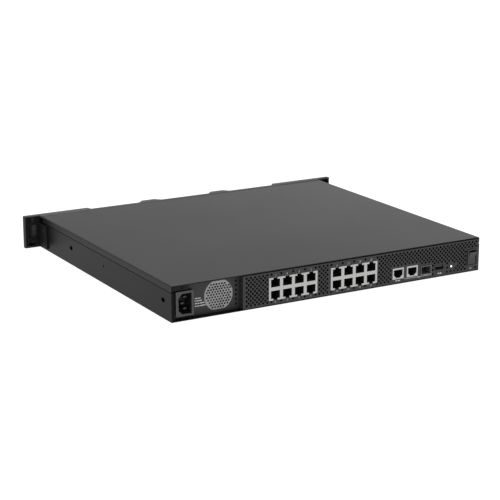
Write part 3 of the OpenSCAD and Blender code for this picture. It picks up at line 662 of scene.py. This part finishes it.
switch_black = moulded("switch_black", (0.02, 0.02, 0.021), 0.36, 0.4)
switch_black.on("switch_housing")
put_piece("switch_rim", swept_rim((rim_low.x, rim_low.z), (rim_high.x, rim_high.z), RIM_CORNER,
                                  RIM_BAND, PANEL_FACE + RIM_SEAT, PANEL_FACE + RIM_CREST),
          switch_black, "chassis")

PIVOT = (-0.2092, 0.1834, 0.0186)
ROCKER_HALF, ROCKER_TILT, ROCKER_ROUND, END_SHRINK = 0.0052, math.radians(-7), 0.0006, 0.09
FIRST_CUT, SECOND_CUT = 0.18, 0.25
ROCKER_CORNERS = np.array([[-4.2, -5], [-4.2, 5], [5.4, 8.0], [6.9, 8.1], [5.6, 4], [5.0, 0],
                           [5.6, -4], [6.9, -8.1], [5.4, -8.0]]) / 1000


def corner_cut(loop, share):
    """Every side of a closed loop keeps only the part between two shares of its length."""
    ahead = np.roll(loop, -1, axis=0)
    near, far = loop * (1 - share) + ahead * share, loop * share + ahead * (1 - share)
    return np.stack([near, far], 1).reshape(-1, 2)


def rocker_body():
    """The rounded (y, z) outline carried along X; near each end it shrinks towards its middle
    on a quarter circle, and the whole is turned about the pivot to its rest tilt."""
    loop = corner_cut(corner_cut(ROCKER_CORNERS, FIRST_CUT), SECOND_CUT)
    a = np.linspace(0, math.pi / 2, 6)
    ends_x = ROCKER_HALF - ROCKER_ROUND * (1 - np.sin(a))
    ends_s = 1 - END_SHRINK * (1 - np.cos(a))
    x = np.concatenate([-ends_x[::-1], ends_x])
    s = np.concatenate([ends_s[::-1], ends_s])
    middle = loop.mean(axis=0)
    yz = middle + (loop - middle)[None] * s[:, None, None]
    y = yz[..., 0] * math.cos(ROCKER_TILT) - yz[..., 1] * math.sin(ROCKER_TILT)
    z = yz[..., 0] * math.sin(ROCKER_TILT) + yz[..., 1] * math.cos(ROCKER_TILT)
    points = np.stack([np.broadcast_to(x[:, None], y.shape), y, z], -1).reshape(-1, 3) + PIVOT
    n = len(loop)
    faces = grid_faces(len(x), n, wrap_columns=True)
    facing = outward(points, faces)
    flip = (facing[0] != faces[0]).any()
    near, far = list(range(n)), list(range((len(x) - 1) * n, len(x) * n))
    caps = [near[::-1], far] if flip else [near, far[::-1]]
    return points, facing.tolist() + caps


put_piece("rocker", rocker_body(), moulded("rocker_black", (0.02, 0.02, 0.021), 0.38, 0.5),
          "power_rocker", crease=40.0, replaces=("switch_rocker",))

# ---------------------------------------------------------------------------
# Mains inlet: a zinc bracket folded from sheet holds a moulded socket with
# three nickel pins, whose leads run into the power supply.
# ---------------------------------------------------------------------------
plated("bracket_zinc", (0.06, 0.06, 0.062), 0.5, 0.55, (1, 1, 5)).on("inlet_bracket")
moulded("inlet_black", (0.010, 0.010, 0.0105), 0.4).on("inlet_socket")
# The pins' nickel is set near black as painted shade for the socket's deep mouth.
plated("pin_nickel_and_shade", (0.05, 0.049, 0.048), 0.34, 1.0, (1, 6, 1)).on("inlet_pins")
plated("screw_zinc", (0.5, 0.49, 0.47), 0.3, 1.0).on("fan_screws", "board_screws")

# ---------------------------------------------------------------------------
# Power supply: a bare galvanised case with a pressed lid, over a single-sided
# board with wound parts, sleeved capacitors and a finned heat sink.
# ---------------------------------------------------------------------------
# The case is painted black below this X as painted shade beside the port panel.
SHADE_STRIP_EDGE, SHADE_STRIP_BLACK, SPANGLES_PER_METRE = 0.1335, (0.004, 0.004, 0.004), 260.0
WEAVE_PER_METRE = 5200.0


def galvanised(name, shade):
    """Zinc spangle: cells of crystal, each with its own brightness and gloss. A strip beside the
    bay's small vents is painted plain black as painted shade, for the shaded corner of the bay by
    the port panel."""
    paint = Paint(name, (shade, shade, shade * 1.02), 0.42, 0.7)
    cell = paint.add("ShaderNodeTexVoronoi", {"feature": "F1"},
                     {"Vector": paint.place(), "Scale": SPANGLES_PER_METRE, "Randomness": 1.0},
                     "Color")
    tone = paint.add("ShaderNodeSeparateColor", {}, {"Color": cell})
    # Painted shade: below the edge in X the case is plain black, in place of the shade in the bay's
    # corner by the port panel.
    bare = paint.axes()[0].above(SHADE_STRIP_EDGE, 0.0001)
    paint.feed("Base Color", paint.blend(bare * (0.65 + tone * 0.35), SHADE_STRIP_BLACK,
                                         (shade * 1.16,) * 3))
    paint.feed("Metallic", bare * 0.7)
    paint.feed("Roughness", 0.36 + tone * 0.14)
    paint.bump(paint.noise(1200, 2.0), 0.00003, 0.25)
    return paint


galvanised("case_zinc", 0.26).on("psu_case", "psu_lid")


def laminate(name, mask_color):
    """Solder mask over a woven core: two crossed fine waves, with drifting tone."""
    paint = Paint(name, mask_color, 0.35)
    x, y = (paint.add("ShaderNodeMath", {"operation": "SINE"}, {0: axis * WEAVE_PER_METRE})
            for axis in paint.axes()[:2])
    weave = x * y
    drift = paint.noise(40, 2.0)
    paint.feed("Base Color", paint.blend(drift * 0.7 + weave * 0.15 + 0.1,
                                         toned(mask_color, 0.75), toned(mask_color, 1.25)))
    paint.feed("Roughness", 0.3 + drift * 0.12)
    paint.bump(weave, 0.00003, 0.3)
    return paint


laminate("board_green", (0.004, 0.014, 0.008)).on("main_board")
laminate("supply_board", (0.09, 0.06, 0.02)).on("psu_board")
moulded("winding_tape", (0.45, 0.3, 0.05), 0.35, 0.5, 400).on("psu_transformer")
moulded("shrink_sleeve", (0.02, 0.035, 0.10), 0.25, 0.5, 300).on(
    "psu_capacitors", "board_capacitors")
plated("extruded_aluminium", (0.55, 0.56, 0.58), 0.38, 1.0, (1, 1, 8)).on(
    "psu_heatsink", "heatsink")
moulded("chip_epoxy", (0.012, 0.012, 0.013), 0.5, 0.4, 2200).on(
    "processor", "memory_chips", "phy_chips")
plated("turned_brass", (0.7, 0.5, 0.22), 0.3, 1.0, (1, 1, 12)).on("board_standoffs")
moulded("natural_nylon", (0.7, 0.67, 0.58), 0.4, 0.5, 500).on("dc_connector")


def wire_covers(name, node, *colors):
    """Smooth insulation, in one colour for each of the node's material slots."""
    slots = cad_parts[node].data.materials
    for i in range(len(slots)):
        slots[i] = moulded(f"{name}_{i + 1}", colors[i % len(colors)], 0.38, 0.5, 250).material


wire_covers("mains_insulation", "mains_wires",
            (0.12, 0.06, 0.03), (0.02, 0.06, 0.25), (0.06, 0.18, 0.03))
wire_covers("output_insulation", "dc_harness", (0.28, 0.02, 0.015), (0.02, 0.02, 0.021))

# ---------------------------------------------------------------------------
# Fan: a moulded frame with four struts, and a rotor of seven twisted blades on
# a round hub that draws air out through the case's grille.
# ---------------------------------------------------------------------------
moulded("fan_black", (0.016, 0.016, 0.017), 0.4).on("fan_frame")
FAN_X, FAN_Z = 0.1543, 0.022
HUB_RADIUS, HUB_ROUND, BLADE_TIP, BLADES = 0.0094, 0.0012, 0.0170, 7
HUB_FRONT, HUB_BACK, SHAFT_END = 0.1742, 0.1598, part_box("fan_rotor")[0].y
HUB_INSIDE, HUB_SHELF, SHAFT_RADIUS = HUB_RADIUS - 0.0016, HUB_BACK + 0.0132, 0.0011
BLADE_SWEEP, BLADE_LEAN, BLADE_BOW = math.radians(36), math.radians(8), 0.10
BLADE_CAMBER, BLADE_SUNK = 0.0011, 0.0003
CHORD_DEPTH, CHORD_TAPER, BLADE_THICKNESS = 0.0112, 0.0026, 0.0009
LABEL_RADIUS, LABEL_DEPTH = 0.004, 0.0003


def blade(turn, across=9, out=9):
    """Grid of (r, c): r goes from the hub to the tip, c from the leading to the trailing edge;
    the chord's sweep angle grows with r, its depth shrinks with r, and it bows by c (1 - c)."""
    r = np.linspace(HUB_RADIUS - BLADE_SUNK, BLADE_TIP, out)[:, None]
    c = np.linspace(0, 1, across)[None, :]
    share = (r - HUB_RADIUS) / (BLADE_TIP - HUB_RADIUS)
    angle = turn + BLADE_SWEEP * (c - 0.5) + BLADE_LEAN * share + BLADE_BOW * c * (1 - c)
    depth = CHORD_DEPTH - CHORD_TAPER * share
    y = (HUB_FRONT + HUB_BACK) / 2 + depth * (0.5 - c) + BLADE_CAMBER * c * (1 - c)
    points = np.stack([FAN_X + r * np.cos(angle), y + 0 * r, FAN_Z + r * np.sin(angle)], -1)
    return points.reshape(-1, 3), grid_faces(out, across)


bend = np.linspace(0, math.pi / 2, 6)
hub_corner = np.stack([HUB_RADIUS - HUB_ROUND * (1 - np.cos(bend)),
                       HUB_FRONT - HUB_ROUND * (1 - np.sin(bend))], -1)
hub_profile = np.concatenate([
    [[0, SHAFT_END], [SHAFT_RADIUS, SHAFT_END], [SHAFT_RADIUS, HUB_SHELF]],
    [[HUB_INSIDE, HUB_SHELF], [HUB_INSIDE, HUB_BACK], [HUB_RADIUS, HUB_BACK]], hub_corner,
    [[LABEL_RADIUS, HUB_FRONT], [LABEL_RADIUS - LABEL_DEPTH, HUB_FRONT - LABEL_DEPTH],
     [0, HUB_FRONT - LABEL_DEPTH]]])
rotor_black = moulded("rotor_black", (0.022, 0.022, 0.023), 0.38)
put_piece("fan_blades", gather([blade(k * 2 * math.pi / BLADES) for k in range(BLADES)]),
          rotor_black, "fan", solid=(BLADE_THICKNESS, 0.0),
          replaces=("fan_rotor",))
put_piece("fan_hub", turned(hub_profile, FAN_X, FAN_Z), rotor_black, "fan")
